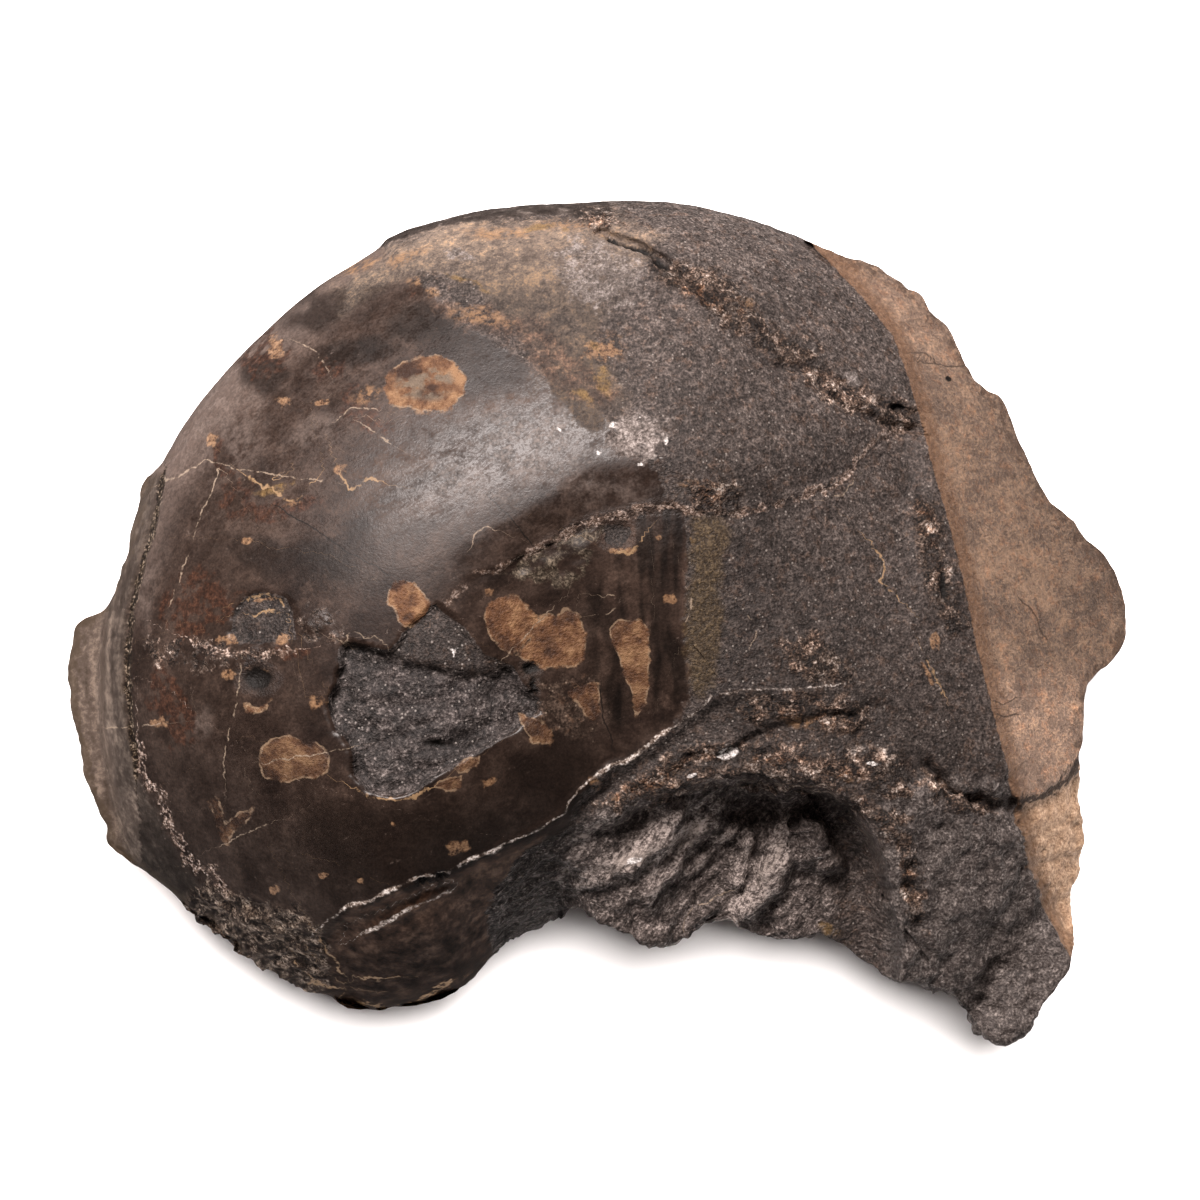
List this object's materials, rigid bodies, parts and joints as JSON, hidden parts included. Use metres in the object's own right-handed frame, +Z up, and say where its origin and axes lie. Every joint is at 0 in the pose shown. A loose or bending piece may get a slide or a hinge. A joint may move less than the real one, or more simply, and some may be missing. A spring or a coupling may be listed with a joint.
{
  "type": "fossil nautiloid",
  "caption": "Broken fossil nautiloid lying on its flank: a coiled shell dome filled with dark rock, with a broken umbilicus and one weathered, slanting joint face.",
  "frame": {"origin": "on the resting plane, under the middle of the fossil's box", "axes": "+X along the longest side, towards the weathered joint face; +Y from the broken umbilicus towards the round outer rim; +Z up from the resting flank"},
  "size_m": [0.0854, 0.0676, 0.0358],
  "materials": {
    "fossil_stone": "semi-polished dark brown fossil shell over fine grey-brown rock, with tan weathered faces and ochre stains"
  },
  "bodies": {
    "root": {"nautiloid_fossil": "fossil_stone"}
  },
  "joints": []
}
